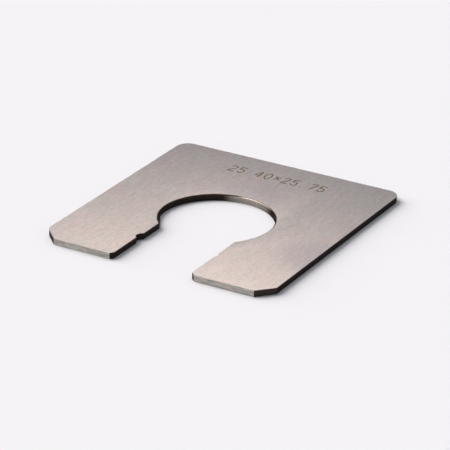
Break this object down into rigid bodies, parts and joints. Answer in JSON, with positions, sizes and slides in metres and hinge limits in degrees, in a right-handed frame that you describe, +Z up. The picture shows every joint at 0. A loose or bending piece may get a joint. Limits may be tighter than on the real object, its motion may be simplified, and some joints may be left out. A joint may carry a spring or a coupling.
{
  "type": "snap gauge",
  "caption": "Flat ground steel GO / NO GO snap gauge: a stepped jaw faces a straight anvil jaw in front of a round throat.",
  "frame": {"origin": "middle of the underside, where the plate lies on the bench", "axes": "+Z up through the thickness, +Y from the mouth to the back edge, +X to the right seen from the mouth, towards the straight anvil jaw"},
  "size_m": [0.076, 0.083, 0.002],
  "materials": {
    "ground_steel": "hardened tool steel, surface ground"
  },
  "bodies": {
    "root": {"gauge_plate": "ground_steel"}
  },
  "joints": []
}
